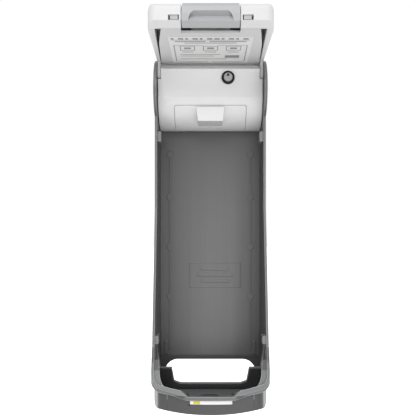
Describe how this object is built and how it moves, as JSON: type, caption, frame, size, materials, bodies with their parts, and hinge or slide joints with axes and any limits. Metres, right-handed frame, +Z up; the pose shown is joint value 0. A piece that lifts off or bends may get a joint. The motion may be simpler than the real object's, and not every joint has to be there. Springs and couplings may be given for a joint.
{
  "type": "wall-held phone charging cradle",
  "caption": "Tall smoked tray that holds a phone on a padded rest, with a battery head and a hinged latching lid.",
  "frame": {"origin": "middle of the four wall screws, on the back face of the tray", "axes": "+Y into the wall, +Z up, +X to the viewer's right"},
  "size_m": [0.104, 0.1256, 0.3646],
  "materials": {
    "smoked_plastic": "satin smoked",
    "bowl_plastic": "satin",
    "clear_grey": "satin",
    "dark_insert": "matte",
    "foam": "soft matte",
    "dark_lens": "gloss",
    "white_plastic": "satin",
    "inner_white": "matte",
    "black_plastic": "matte",
    "grey_plastic": "satin",
    "steel": "bright",
    "cell_sleeve": "gloss sleeve",
    "cell_metal": "bright",
    "board": "lacquered",
    "label": "coated",
    "label_ink": "printed",
    "badge_colour": "printed"
  },
  "bodies": {
    "cradle": {"tray": "smoked_plastic", "bowl": "bowl_plastic", "bowl_clips": "clear_grey", "lid_rest_lugs": "clear_grey", "shelf": "dark_insert", "pad_carrier": "clear_grey", "foam_pad": "foam", "sensor_window": "dark_lens", "badge_plate": "label", "badge_inlay": "badge_colour", "head_housing": "white_plastic", "head_back_cover": "inner_white", "head_screws": "steel", "battery_tray": "black_plastic", "battery_cells": "cell_sleeve", "cell_caps": "cell_metal", "contact_springs": "steel", "contact_plates": "steel", "socket_bezel": "black_plastic", "socket_body": "grey_plastic", "socket_nut": "steel", "circuit_board": "board", "board_parts": "black_plastic", "board_screws": "steel", "hinge_pins": "steel", "sensor_board": "board"},
    "lid": {"lid_shell": "white_plastic", "lid_liner": "white_plastic", "label_plate": "label", "label_print": "label_ink"},
    "latch": {"latch_button": "grey_plastic", "latch_bar": "grey_plastic", "latch_springs": "steel"},
    "battery_door": {"battery_door": "white_plastic"}
  },
  "joints": [
    {"name": "lid_hinge", "type": "hinge", "parent": "cradle", "child": "lid", "pos_m": [0, -0.036, 0.166], "axis": [1, 0, 0], "range_deg": [0, 97]},
    {"name": "latch_push", "type": "slide", "parent": "lid", "child": "latch", "axis": [0, 1, 0], "range_m": [0, 0.0025], "stiffness_N_per_m": 600, "springref_m": -0.002},
    {"name": "battery_door_slide", "type": "slide", "parent": "cradle", "child": "battery_door", "axis": [0, 0, -1], "range_m": [0, 0.012]}
  ]
}
